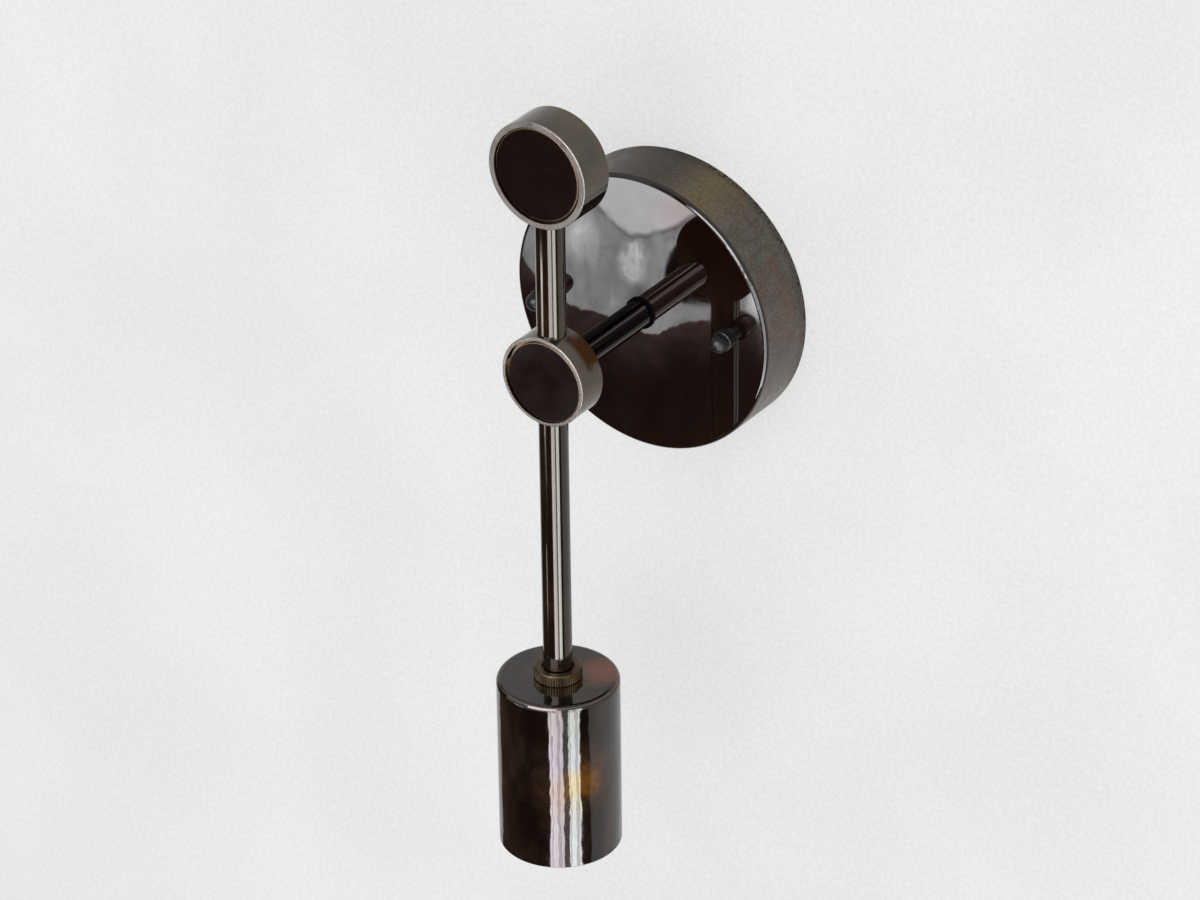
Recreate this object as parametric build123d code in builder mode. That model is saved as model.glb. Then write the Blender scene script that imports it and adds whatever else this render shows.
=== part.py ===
from build123d import *
from math import cos, radians, sin
import os

# Cylinder wall sconce, in millimetres.
# The wall is the plane y = 0 and the sconce stands out from it towards -Y.
# The origin is the centre of the canopy's rim on the wall, on the axis of the arm. +Z is up.
# A reach is a distance from the wall, and a drop is a distance below the arm's axis.

# Tube and thread stock
tube_dia = 12.5
nipple_dia = 10.0
nipple_bore = 7.4
nipple_chamfer = 0.5
thread_gap = 0.05
turning_gap = 0.06
thread_engagement = 14.0

# Canopy against the wall
canopy_dia = 127.0
canopy_depth = 30.0
canopy_wall = 1.2
canopy_edge_radius = 1.8

# Crossbar, its studs and the ground screw. The line of studs is turned from level.
stud_inset = 16.5
stud_line_tilt = 5.1
stud_dia = 4.17
stud_hole_dia = 5.0
crossbar_overhang = 7.0
crossbar_width = 20.0
crossbar_thickness = 2.0
crossbar_corner = 4.0
flange_height = 3.0
flange_thickness = 1.6
centre_hole_dia = 11.0
box_screw_spacing = 69.85
box_screw_hole_dia = 4.8
jam_nut_across_flats = 8.7
jam_nut_height = 3.2
ground_screw_dia = 4.8
ground_screw_offset = 17.0
ground_head_dia = 9.0
ground_head_height = 3.0
driver_slot_width = 1.2
driver_slot_depth = 1.0

# Domed cap nuts on the canopy face
cap_neck_dia = 6.0
cap_neck_height = 3.2
cap_dia = 9.0
cap_body_height = 6.2
cap_step = 0.4
cap_dome_rise = 1.0
cap_chamfer = 0.5
cap_bore_depth = 8.5
stud_in_cap = 7.0

# Arm, and what holds it in the canopy
base_washer_dia = 14.4
base_washer_thickness = 0.8
friction_washer_dia = 18.0
friction_washer_thickness = 1.0
locknut_across_flats = 14.0
locknut_height = 3.0
nipple_past_locknut = 2.0

# Hubs: turned drums with a shallow recess for a front disc and a pocket where the wires turn
rod_reach = 94.0
hub_spacing = 96.0
lower_hub_dia = 40.5
lower_hub_depth = 15.0
lower_hub_rim = 1.55
lower_pocket_dia = 19.0
lower_disc_gap = 0.8
lower_disc_shift = (0.5, -0.4)
top_hub_dia = 47.5
top_hub_depth = 17.5
top_hub_rim = 2.6
top_pocket_dia = 24.0
top_disc_gap = 0.85
top_disc_shift = (-0.15, 0.3)
hub_back_wall = 4.0
hub_edge_radius = 0.4
disc_recess = 1.8
disc_thickness = 1.5
disc_chamfer = 0.5
nipple_from_pocket = 1.0

# Socket cup, and the knurled ring above it
cup_drop = 146.5
cup_dia = 53.0
cup_height = 81.0
cup_wall = 1.2
cup_edge_radius = 2.5
cup_lip_radius = 0.3
cup_hole_dia = 10.4
ring_dia = 20.8
ring_height = 5.0
ring_recess_dia = 14.2
ring_recess_depth = 1.5
ring_chamfer = 0.3
knurl_count = 56
knurl_depth = 0.35
knurl_margin = 0.5

# Lampholder, measured down from the underside of the cup's top
boss_dia = 16.0
boss_height = 5.0
holder_dia = 35.0
holder_cap_wall = 0.8
holder_shoulder_drop = 3.0
holder_skirt_drop = 9.5
holder_cap_height = 20.0
holder_gap = 0.2
holder_top_drop = 13.5
holder_length = 37.5
holder_lip_chamfer = 0.8
socket_bore_dia = 28.4
socket_bore_depth = 25.0
contact_recess_dia = 15.0
shell_inner_dia = 26.7
shell_wall = 0.45
shell_length = 22.0
shell_flange_hole = 18.0
contact_thickness = 0.5
contact_width = 6.0
contact_reach = 6.0
contact_rise = 5.0
contact_bend = 1.0

# Terminals on top of the lampholder's body
terminal_spread = 9.0
terminal_setback = 2.2
terminal_plate_side = 8.0
terminal_plate_thickness = 1.1
terminal_head_dia = 6.4
terminal_head_height = 2.0
terminal_screw_dia = 3.1
terminal_screw_length = 6.0

# Sizes and places that follow
tube_bore = nipple_dia + 2 * thread_gap
tapped_dia = nipple_dia + 2 * thread_gap
turning_bore = nipple_dia + 2 * turning_gap
inner_face = canopy_depth - canopy_wall
stud_spacing = canopy_dia - 2 * stud_inset
crossbar_length = stud_spacing + 2 * crossbar_overhang
locknut_face = inner_face - friction_washer_thickness
arm_start = canopy_depth + base_washer_thickness
lower_back = rod_reach - lower_hub_depth / 2
lower_front = rod_reach + lower_hub_depth / 2
top_front = rod_reach + top_hub_depth / 2
lower_disc_dia = lower_hub_dia - 2 * (lower_hub_rim + lower_disc_gap)
top_disc_dia = top_hub_dia - 2 * (top_hub_rim + top_disc_gap)
ring_top = -(cup_drop - ring_height)
rod_foot = ring_top - ring_recess_depth
cup_ceiling = -(cup_drop + cup_wall)
holder_body_top = cup_ceiling - holder_top_drop
holder_mouth = holder_body_top - holder_length
socket_ceiling = holder_mouth + socket_bore_depth
contact_seat = socket_ceiling + contact_rise
terminal_plate_top = holder_body_top + terminal_plate_thickness
terminal_points = [(side * terminal_spread, terminal_setback) for side in (1, -1)]

# The crossbar lies on this plane, with the studs on its local X axis
bar_plane = Plane(
    origin=(0, 0, 0),
    x_dir=(cos(radians(stud_line_tilt)), 0, sin(radians(stud_line_tilt))),
    z_dir=(0, -1, 0),
)
stud_points = {"right": (stud_spacing / 2, 0), "left": (-stud_spacing / 2, 0)}
rod_axis = Axis((0, -rod_reach, 0), (0, 0, 1))
rod_section = Plane.XZ.offset(rod_reach)


def rod_plane(height):
    """Level plane with its origin on the axis of the rods."""
    return Plane(origin=(0, -rod_reach, height))


def save(piece, name):
    """Label a finished piece and write it under its node's name."""
    piece.part.label = name
    export_step(piece.part, f"parts/{name}.step")


def threaded_tube(start, length):
    """Threaded tube on a start plane, its outer ends chamfered."""
    with BuildPart() as tube:
        with BuildSketch(start):
            Circle(nipple_dia / 2)
        extrude(amount=length)
        chamfer(tube.edges().filter_by(GeomType.CIRCLE), nipple_chamfer)
        with BuildSketch(start):
            Circle(nipple_bore / 2)
        extrude(amount=length, mode=Mode.SUBTRACT)
    return tube


def ring_on_arm(reach, outer_dia, inner_dia, thickness):
    """Flat ring round the arm's axis, with its wall side at the given reach."""
    with BuildPart() as ring:
        with BuildSketch(Plane.XZ.offset(reach)):
            Circle(outer_dia / 2)
            Circle(inner_dia / 2, mode=Mode.SUBTRACT)
        extrude(amount=thickness)
    return ring


def hub_drum(height, dia, depth, rim, pocket_dia, ports, arm_port=False):
    """Drum across the rods: disc recess, wire pocket, tapped ports up (1), down (-1), to the arm."""
    front = rod_reach + depth / 2
    with BuildPart() as drum:
        with BuildSketch(Plane.XZ.offset(front - depth)):
            with Locations((0, height)):
                Circle(dia / 2)
        extrude(amount=depth)
        fillet(drum.edges().filter_by(GeomType.CIRCLE), hub_edge_radius)
        with BuildSketch(Plane.XZ.offset(front)):
            with Locations((0, height)):
                Circle(dia / 2 - rim)
        extrude(amount=-disc_recess, mode=Mode.SUBTRACT)
        with BuildSketch(Plane.XZ.offset(front - disc_recess)):
            with Locations((0, height)):
                Circle(pocket_dia / 2)
        extrude(amount=-(depth - disc_recess - hub_back_wall), mode=Mode.SUBTRACT)
        for port in ports:
            with BuildSketch(rod_plane(height + port * (pocket_dia / 2 - tapped_dia / 4))):
                Circle(tapped_dia / 2)
            extrude(amount=port * dia / 2, mode=Mode.SUBTRACT)
        if arm_port:
            with BuildSketch(Plane.XZ.offset(front - depth)):
                Circle(tapped_dia / 2)
            extrude(amount=hub_back_wall, mode=Mode.SUBTRACT)
    return drum


def hub_disc(height, front, dia, shift):
    """Front disc on the floor of a hub's recess, slightly off the hub's centre."""
    with BuildPart() as disc:
        with BuildSketch(Plane.XZ.offset(front - disc_recess)):
            with Locations((shift[0], height + shift[1])):
                Circle(dia / 2)
        extrude(amount=disc_thickness)
        chamfer(disc.edges().filter_by(GeomType.CIRCLE).sort_by(Axis.Y)[0], disc_chamfer)
    return disc


def port_nipple(height, port, hub_dia, pocket_dia):
    """Nipple from a hub's pocket out through its port and into the rod there."""
    start = height + port * (pocket_dia / 2 + nipple_from_pocket)
    length = hub_dia / 2 - pocket_dia / 2 - nipple_from_pocket + thread_engagement
    return threaded_tube(rod_plane(start), port * length)


os.makedirs("parts", exist_ok=True)

# Canopy: a deep dish, open to the wall
with BuildPart() as canopy:
    with BuildSketch(Plane.XZ):
        Circle(canopy_dia / 2)
    extrude(amount=canopy_depth)
    fillet(canopy.faces().sort_by(Axis.Y)[0].edges(), canopy_edge_radius)
    offset(amount=-canopy_wall, openings=canopy.faces().sort_by(Axis.Y)[-1])
    with BuildSketch(bar_plane.offset(canopy_depth)):
        Circle(turning_bore / 2)
        with Locations(*stud_points.values()):
            Circle(stud_hole_dia / 2)
    extrude(amount=-canopy_depth / 2, mode=Mode.SUBTRACT)
save(canopy, "canopy")

# Crossbar: flat strap on the junction box, with two stiffening flanges
with BuildPart() as crossbar:
    with BuildSketch(bar_plane):
        RectangleRounded(crossbar_length, crossbar_width, crossbar_corner)
    extrude(amount=crossbar_thickness)
    with BuildSketch(bar_plane.offset(crossbar_thickness)):
        with GridLocations(0, crossbar_width - flange_thickness, 1, 2):
            Rectangle(crossbar_length - 2 * crossbar_corner, flange_thickness)
    extrude(amount=flange_height)
    with BuildSketch(bar_plane):
        Circle(centre_hole_dia / 2)
        with GridLocations(box_screw_spacing, 0, 2, 1):
            Circle(box_screw_hole_dia / 2)
        with Locations(*stud_points.values()):
            Circle(stud_dia / 2 + thread_gap)
        with Locations((ground_screw_offset, 0)):
            Circle(ground_screw_dia / 2 + thread_gap)
    extrude(amount=crossbar_thickness, mode=Mode.SUBTRACT)
save(crossbar, "crossbar")

with BuildPart() as canopy_studs:
    with BuildSketch(bar_plane):
        with Locations(*stud_points.values()):
            Circle(stud_dia / 2)
    extrude(amount=canopy_depth + stud_in_cap)
    chamfer(canopy_studs.edges().group_by(Axis.Y)[0], nipple_chamfer)
save(canopy_studs, "canopy_studs")

with BuildPart() as stud_jam_nuts:
    with BuildSketch(bar_plane.offset(crossbar_thickness)):
        with Locations(*stud_points.values()):
            RegularPolygon(jam_nut_across_flats / 2, 6, major_radius=False)
            Circle(stud_dia / 2 + thread_gap, mode=Mode.SUBTRACT)
    extrude(amount=jam_nut_height)
save(stud_jam_nuts, "stud_jam_nuts")

with BuildPart() as ground_screw:
    with BuildSketch(bar_plane):
        with Locations((ground_screw_offset, 0)):
            Circle(ground_screw_dia / 2)
    extrude(amount=crossbar_thickness)
    with BuildSketch(bar_plane.offset(crossbar_thickness)):
        with Locations((ground_screw_offset, 0)):
            Circle(ground_head_dia / 2)
    extrude(amount=ground_head_height)
    fillet(ground_screw.edges().sort_by(Axis.Y)[0], ground_head_height / 3)
    with BuildSketch(bar_plane.offset(crossbar_thickness + ground_head_height)):
        with Locations((ground_screw_offset, 0)):
            Rectangle(driver_slot_width, ground_head_dia)
    extrude(amount=-driver_slot_depth, mode=Mode.SUBTRACT)
save(ground_screw, "ground_screw")

# Cap nuts: a narrow neck on the canopy, a round body and a stepped dome, bored blind for the stud
cap_shoulder = cap_neck_height + cap_body_height
dome_radius = cap_dia / 2 - cap_step
dome_start = cap_shoulder + cap_dome_rise
cap_top = dome_start + dome_radius
for side, point in stud_points.items():
    seat_point = bar_plane.offset(canopy_depth).from_local_coords(point)
    section = Plane(origin=seat_point, x_dir=bar_plane.x_dir, z_dir=-bar_plane.y_dir)
    with BuildPart() as cap_nut:
        with BuildSketch(section):
            with BuildLine():
                Polyline(
                    (0, cap_top),
                    (0, cap_bore_depth),
                    (stud_dia / 2 + thread_gap, cap_bore_depth),
                    (stud_dia / 2 + thread_gap, 0),
                    (cap_neck_dia / 2, 0),
                    (cap_neck_dia / 2, cap_neck_height),
                    (cap_dia / 2 - cap_chamfer, cap_neck_height),
                    (cap_dia / 2, cap_neck_height + cap_chamfer),
                    (cap_dia / 2, cap_shoulder),
                    (dome_radius, cap_shoulder),
                    (dome_radius, dome_start),
                )
                TangentArc((0, cap_top), (dome_radius, dome_start), tangent=(1, 0))
            make_face()
        revolve(axis=Axis(seat_point, bar_plane.z_dir))
    save(cap_nut, f"cap_nut_{side}")

# Arm: tube, nipple through the canopy face, and the washers and nut that hold it there
base_washer = ring_on_arm(canopy_depth, base_washer_dia, turning_bore, base_washer_thickness)
save(base_washer, "base_washer")

friction_washer = ring_on_arm(
    locknut_face, friction_washer_dia, turning_bore, friction_washer_thickness
)
save(friction_washer, "friction_washer")

with BuildPart() as arm_locknut:
    with BuildSketch(Plane.XZ.offset(locknut_face - locknut_height)):
        RegularPolygon(locknut_across_flats / 2, 6, major_radius=False)
        Circle(tapped_dia / 2, mode=Mode.SUBTRACT)
    extrude(amount=locknut_height)
save(arm_locknut, "arm_locknut")

arm_nipple_start = locknut_face - locknut_height - nipple_past_locknut
arm_nipple = threaded_tube(
    Plane.XZ.offset(arm_nipple_start), arm_start + thread_engagement - arm_nipple_start
)
save(arm_nipple, "arm_nipple")

arm_tube = ring_on_arm(arm_start, tube_dia, tube_bore, lower_back - arm_start)
save(arm_tube, "arm_tube")

hub_arm_nipple = threaded_tube(
    Plane.XZ.offset(lower_back - thread_engagement), thread_engagement + hub_back_wall
)
save(hub_arm_nipple, "hub_arm_nipple")

# Lower hub, with ports up, down and to the arm behind it
lower_hub = hub_drum(
    0, lower_hub_dia, lower_hub_depth, lower_hub_rim, lower_pocket_dia, (1, -1), arm_port=True
)
save(lower_hub, "lower_hub")

lower_hub_disc = hub_disc(0, lower_front, lower_disc_dia, lower_disc_shift)
save(lower_hub_disc, "lower_hub_disc")

# Top hub, with one port down
top_hub = hub_drum(
    hub_spacing, top_hub_dia, top_hub_depth, top_hub_rim, top_pocket_dia, (-1,)
)
save(top_hub, "top_hub")

top_hub_disc = hub_disc(hub_spacing, top_front, top_disc_dia, top_disc_shift)
save(top_hub_disc, "top_hub_disc")

# Upper rod, both ends coped to the drums
with BuildPart() as upper_rod:
    with BuildSketch(rod_plane(0)):
        Circle(tube_dia / 2)
        Circle(tube_bore / 2, mode=Mode.SUBTRACT)
    extrude(amount=hub_spacing)
    with BuildSketch(rod_section):
        Circle(lower_hub_dia / 2)
        with Locations((0, hub_spacing)):
            Circle(top_hub_dia / 2)
    extrude(amount=tube_dia, both=True, mode=Mode.SUBTRACT)
save(upper_rod, "upper_rod")

save(port_nipple(0, 1, lower_hub_dia, lower_pocket_dia), "upper_rod_nipple")
save(port_nipple(hub_spacing, -1, top_hub_dia, top_pocket_dia), "top_hub_nipple")

# Lower rod, coped to the lower hub, its foot in the recess of the knurled ring
with BuildPart() as lower_rod:
    with BuildSketch(rod_plane(rod_foot)):
        Circle(tube_dia / 2)
        Circle(tube_bore / 2, mode=Mode.SUBTRACT)
    extrude(amount=-rod_foot)
    with BuildSketch(rod_section):
        Circle(lower_hub_dia / 2)
    extrude(amount=tube_dia, both=True, mode=Mode.SUBTRACT)
save(lower_rod, "lower_rod")

save(port_nipple(0, -1, lower_hub_dia, lower_pocket_dia), "lower_rod_nipple")

socket_nipple_end = cup_ceiling - boss_height
socket_nipple = threaded_tube(
    rod_plane(socket_nipple_end), rod_foot + thread_engagement - socket_nipple_end
)
save(socket_nipple, "socket_nipple")

# Knurled ring: a plain core with a straight-knurled band round it
with BuildPart() as knurled_ring:
    with BuildSketch(rod_plane(-cup_drop)):
        Circle(ring_dia / 2 - knurl_depth)
    extrude(amount=ring_height)
    chamfer(knurled_ring.edges().filter_by(GeomType.CIRCLE), ring_chamfer)
    with BuildSketch(rod_plane(knurl_margin - cup_drop)):
        Circle(ring_dia / 2)
        with PolarLocations(ring_dia / 2, knurl_count):
            RegularPolygon(knurl_depth, 4, mode=Mode.SUBTRACT)
    extrude(amount=ring_height - 2 * knurl_margin)
    with BuildSketch(rod_plane(-cup_drop)):
        Circle(turning_bore / 2)
    extrude(amount=ring_height, mode=Mode.SUBTRACT)
    with BuildSketch(rod_plane(ring_top)):
        Circle(ring_recess_dia / 2)
    extrude(amount=-ring_recess_depth, mode=Mode.SUBTRACT)
save(knurled_ring, "knurled_ring")

# Socket cup: a cylinder with a rounded closed top and an open mouth
with BuildPart() as socket_cup:
    with BuildSketch(rod_plane(-cup_drop)):
        Circle(cup_dia / 2)
    extrude(amount=-cup_height)
    fillet(socket_cup.faces().sort_by(Axis.Z)[-1].edges(), cup_edge_radius)
    offset(amount=-cup_wall, openings=socket_cup.faces().sort_by(Axis.Z)[0])
    fillet(socket_cup.faces().sort_by(Axis.Z)[0].edges(), cup_lip_radius)
    with BuildSketch(rod_plane(-cup_drop)):
        Circle(cup_hole_dia / 2)
    extrude(amount=-boss_height, mode=Mode.SUBTRACT)
save(socket_cup, "socket_cup")

# Lampholder cap: threaded boss, sloping shoulder and skirt
skirt_bore = holder_dia / 2 - holder_cap_wall
with BuildPart() as holder_cap:
    with BuildSketch(rod_section):
        with BuildLine():
            Polyline(
                (tapped_dia / 2, cup_ceiling),
                (boss_dia / 2, cup_ceiling),
                (boss_dia / 2, cup_ceiling - holder_shoulder_drop),
                (holder_dia / 2, cup_ceiling - holder_skirt_drop),
                (holder_dia / 2, cup_ceiling - holder_cap_height),
                (skirt_bore, cup_ceiling - holder_cap_height),
                (skirt_bore, cup_ceiling - holder_skirt_drop - holder_cap_wall),
                (boss_dia / 2, cup_ceiling - boss_height),
                (tapped_dia / 2, cup_ceiling - boss_height),
                close=True,
            )
        make_face()
    revolve(axis=rod_axis)
save(holder_cap, "holder_cap")

# Lampholder body: insulating cylinder in the cap's skirt, with a deep bore for the screw shell
with BuildPart() as holder_body:
    with BuildSketch(rod_section):
        with BuildLine():
            Polyline(
                (0, holder_body_top),
                (skirt_bore - holder_gap, holder_body_top),
                (skirt_bore - holder_gap, cup_ceiling - holder_cap_height),
                (holder_dia / 2, cup_ceiling - holder_cap_height),
                (holder_dia / 2, holder_mouth + holder_lip_chamfer),
                (holder_dia / 2 - holder_lip_chamfer, holder_mouth),
                (socket_bore_dia / 2 + holder_lip_chamfer, holder_mouth),
                (socket_bore_dia / 2, holder_mouth + holder_lip_chamfer),
                (socket_bore_dia / 2, socket_ceiling),
                (contact_recess_dia / 2, socket_ceiling),
                (contact_recess_dia / 2, contact_seat),
                (0, contact_seat),
                close=True,
            )
        make_face()
    revolve(axis=rod_axis)
    with BuildSketch(rod_plane(holder_body_top)):
        with Locations(*terminal_points):
            Circle(terminal_screw_dia / 2 + thread_gap)
    extrude(amount=-terminal_screw_length, mode=Mode.SUBTRACT)
save(holder_body, "holder_body")

# Screw shell: a thin sleeve with an inward flange on the socket's ceiling
with BuildPart() as screw_shell:
    with BuildSketch(rod_section):
        with BuildLine():
            Polyline(
                (shell_flange_hole / 2, socket_ceiling),
                (shell_inner_dia / 2 + shell_wall, socket_ceiling),
                (shell_inner_dia / 2 + shell_wall, socket_ceiling - shell_length),
                (shell_inner_dia / 2, socket_ceiling - shell_length),
                (shell_inner_dia / 2, socket_ceiling - shell_wall),
                (shell_flange_hole / 2, socket_ceiling - shell_wall),
                close=True,
            )
        make_face()
    revolve(axis=rod_axis)
save(screw_shell, "screw_shell")

# Centre contact: a folded strip, its foot on the floor of the recess above the socket
with BuildPart() as centre_contact:
    with BuildSketch(rod_section):
        with BuildLine() as strip:
            FilletPolyline(
                (contact_reach, contact_seat - contact_thickness / 2),
                (-contact_reach, contact_seat - contact_thickness / 2),
                (-contact_reach, contact_seat - contact_rise / 2),
                (contact_reach / 2, socket_ceiling),
                radius=contact_bend,
            )
        trace(strip.edges(), line_width=contact_thickness)
    extrude(amount=contact_width / 2, both=True)
save(centre_contact, "centre_contact")

with BuildPart() as terminal_plates:
    with BuildSketch(rod_plane(holder_body_top)):
        with Locations(*terminal_points):
            Rectangle(terminal_plate_side, terminal_plate_side)
            Circle(terminal_screw_dia / 2 + thread_gap, mode=Mode.SUBTRACT)
    extrude(amount=terminal_plate_thickness)
save(terminal_plates, "terminal_plates")

with BuildPart() as terminal_screws:
    with BuildSketch(rod_plane(terminal_plate_top)):
        with Locations(*terminal_points):
            Circle(terminal_screw_dia / 2)
    extrude(amount=-(terminal_plate_thickness + terminal_screw_length))
    with BuildSketch(rod_plane(terminal_plate_top)):
        with Locations(*terminal_points):
            Circle(terminal_head_dia / 2)
    extrude(amount=terminal_head_height)
    with BuildSketch(rod_plane(terminal_plate_top + terminal_head_height)):
        with Locations(*terminal_points):
            Rectangle(driver_slot_width, terminal_head_dia)
    extrude(amount=-driver_slot_depth, mode=Mode.SUBTRACT)
save(terminal_screws, "terminal_screws")
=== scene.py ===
"""Cylinder wall sconce: finishes, rolled threads, turned cap nuts, wall, light and camera.

Metres, in the part's own frame: the wall is y = 0, the sconce stands out towards -Y, +Z is up.
"""

import math

import bmesh
import bpy
from mathutils import Matrix, Vector


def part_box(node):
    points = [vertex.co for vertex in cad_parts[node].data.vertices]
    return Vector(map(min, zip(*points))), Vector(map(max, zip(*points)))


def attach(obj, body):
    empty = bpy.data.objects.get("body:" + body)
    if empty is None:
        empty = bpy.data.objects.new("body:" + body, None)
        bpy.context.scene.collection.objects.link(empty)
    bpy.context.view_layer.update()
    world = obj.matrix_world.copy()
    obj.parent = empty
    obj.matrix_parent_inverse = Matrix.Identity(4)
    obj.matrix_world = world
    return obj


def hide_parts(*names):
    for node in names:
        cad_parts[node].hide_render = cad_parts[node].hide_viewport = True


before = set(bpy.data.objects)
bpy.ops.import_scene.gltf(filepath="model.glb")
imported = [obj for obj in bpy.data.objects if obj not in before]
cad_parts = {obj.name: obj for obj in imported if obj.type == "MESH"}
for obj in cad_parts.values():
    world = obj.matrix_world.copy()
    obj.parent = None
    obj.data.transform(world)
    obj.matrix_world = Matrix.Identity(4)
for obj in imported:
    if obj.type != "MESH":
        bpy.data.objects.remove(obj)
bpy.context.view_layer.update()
MM = 0.001

# Places on the part, read from the frame
canopy_low, canopy_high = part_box("canopy")
cup_low, cup_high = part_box("socket_cup")
shell_low, shell_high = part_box("screw_shell")
studs_low, studs_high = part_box("canopy_studs")
arm_nipple_low, arm_nipple_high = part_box("arm_nipple")
canopy_radius = canopy_high.x
canopy_depth = -canopy_low.y
rod_y = (cup_low.y + cup_high.y) / 2
cup_radius = cup_high.x

# Sizes that the frame's boxes don't give
arm_nipple_bore_radius = 3.7 * MM
stud_radius = 2.085 * MM
shell_sheet = 0.4 * MM
nut_body_start = 3.5 * MM
nut_body_end = 8.7 * MM

# Camera, fitted to the photograph: a very long lens, from the right and above
photo_width_px = 1200
focal_px = 5862
sensor_mm = 36.0
camera_azimuth = math.radians(35.25)
camera_elevation = math.radians(30.05)
camera_roll = math.radians(-0.8)
camera_distance = 2.5
camera_target = Vector((-0.01472, -0.04, -0.06662))


def direction(azimuth, elevation):
    """Unit vector from the part: azimuth from -Y towards +X, elevation above level."""
    return Vector(
        (
            math.sin(azimuth) * math.cos(elevation),
            -math.cos(azimuth) * math.cos(elevation),
            math.sin(elevation),
        )
    )


def make_camera():
    """The photograph's camera."""
    back = direction(camera_azimuth, camera_elevation)
    right = Vector((0, 0, 1)).cross(back).normalized()
    up = back.cross(right)
    rolled_right = right * math.cos(camera_roll) + up * math.sin(camera_roll)
    rolled_up = up * math.cos(camera_roll) - right * math.sin(camera_roll)
    data = bpy.data.cameras.new("camera")
    data.sensor_fit = "HORIZONTAL"
    data.sensor_width = sensor_mm
    data.lens = sensor_mm * focal_px / photo_width_px
    data.clip_end = 50
    camera = bpy.data.objects.new("camera", data)
    bpy.context.scene.collection.objects.link(camera)
    place = Matrix((rolled_right, rolled_up, back)).transposed().to_4x4()
    place.translation = camera_target + back * camera_distance
    camera.matrix_world = place
    bpy.context.scene.camera = camera


class Finish:
    """A material under construction: its node tree, its shader and the part's coordinates."""

    def __init__(self, name, **sockets):
        self.material = bpy.data.materials.new(name)
        self.material.use_nodes = True
        self.tree = self.material.node_tree
        self.shader = self.tree.nodes["Principled BSDF"]
        for socket, value in sockets.items():
            self.shader.inputs[socket.replace("_", " ")].default_value = value
        self.place = self.add("ShaderNodeTexCoord").outputs["Object"]

    def add(self, kind, inputs=(), **settings):
        """A node with its settings, and its inputs given as values or as outputs to link."""
        node = self.tree.nodes.new(kind)
        for name, value in settings.items():
            setattr(node, name, value)
        for key, value in dict(inputs).items():
            self.set(node.inputs[key], value)
        return node

    def set(self, socket, value):
        """Links a socket to an output, or gives it a value."""
        if isinstance(value, bpy.types.NodeSocket):
            self.tree.links.new(value, socket)
        else:
            socket.default_value = value

    def give(self, name, value):
        """Sets or links one of the shader's own inputs."""
        self.set(self.shader.inputs[name], value)

    def show(self, shader):
        """Makes a shader what the material shows."""
        self.tree.links.new(shader, self.tree.nodes["Material Output"].inputs["Surface"])

    def stretched(self, scale):
        """The point's place, scaled by its own factor along each axis."""
        mapping = self.add("ShaderNodeMapping", {"Vector": self.place, "Scale": scale})
        return mapping.outputs["Vector"]

    def noise(self, scale, detail=3.0, roughness=0.5, distortion=0.0, vector=None):
        """Noise from 0 to 1 with its features 1/scale metres apart."""
        inputs = {
            "Vector": vector or self.place,
            "Scale": scale,
            "Detail": detail,
            "Roughness": roughness,
            "Distortion": distortion,
        }
        return self.add("ShaderNodeTexNoise", inputs).outputs["Fac"]

    def math(self, operation, a, b=0.0, clamp=False):
        node = self.add("ShaderNodeMath", operation=operation, use_clamp=clamp)
        self.set(node.inputs[0], a)
        self.set(node.inputs[1], b)
        return node.outputs[0]

    def plus(self, a, b):
        return self.math("ADD", a, b)

    def minus(self, a, b):
        return self.math("SUBTRACT", a, b)

    def times(self, a, b):
        return self.math("MULTIPLY", a, b)

    def step(self, value, start, end, low=0.0, high=1.0):
        """Smooth step of a value from low at start to high at end."""
        inputs = {"Value": value, "From Min": start, "From Max": end, "To Min": low, "To Max": high}
        node = self.add("ShaderNodeMapRange", inputs, interpolation_type="SMOOTHSTEP")
        return node.outputs["Result"]

    def mix(self, factor, a, b):
        """Number a where factor is 0 and b where it is 1."""
        return self.add("ShaderNodeMix", {"Factor": factor, "A": a, "B": b}).outputs[0]

    def blend(self, factor, a, b):
        """Colour a where factor is 0 and b where it is 1."""
        node = self.add("ShaderNodeMix", data_type="RGBA")
        self.set(node.inputs["Factor"], factor)
        for socket, value in ((node.inputs[6], a), (node.inputs[7], b)):
            self.set(socket, value if isinstance(value, bpy.types.NodeSocket) else (*value, 1))
        return node.outputs[2]

    def ramp(self, factor, *stops):
        """Colour ramp through (position, colour) stops."""
        node = self.add("ShaderNodeValToRGB", {"Fac": factor})
        elements = node.color_ramp.elements
        while len(elements) < len(stops):
            elements.new(1.0)
        for element, (position, color) in zip(elements, stops):
            element.position = position
            element.color = (*color, 1)
        return node.outputs["Color"]

    def bump(self, height, distance, strength=1.0, under=None):
        """Bump of a height from 0 to 1 that stands for a distance in metres."""
        inputs = {"Height": height, "Distance": distance, "Strength": strength}
        if under:
            inputs["Normal"] = under
        return self.add("ShaderNodeBump", inputs).outputs["Normal"]

    def axes(self):
        """X, Y and Z of the point, in metres."""
        node = self.add("ShaderNodeSeparateXYZ", {"Vector": self.place})
        return node.outputs["X"], node.outputs["Y"], node.outputs["Z"]

    def radius(self, a, b, a0=0.0, b0=0.0):
        """Distance from the line a = a0, b = b0."""
        da, db = self.minus(a, a0), self.minus(b, b0)
        squares = self.plus(self.times(da, da), self.times(db, db))
        return self.math("SQRT", squares)

    def spot(self, a, b, centre, size, soft=1.0):
        """1 inside an ellipse given in millimetres, easing to 0 over its outer share, soft."""
        across = self.math("DIVIDE", self.minus(a, centre[0] * MM), size[0] * MM)
        along = self.math("DIVIDE", self.minus(b, centre[1] * MM), size[1] * MM)
        return self.step(self.radius(across, along), 1.0 - soft, 1.0, 1.0, 0.0)


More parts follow.
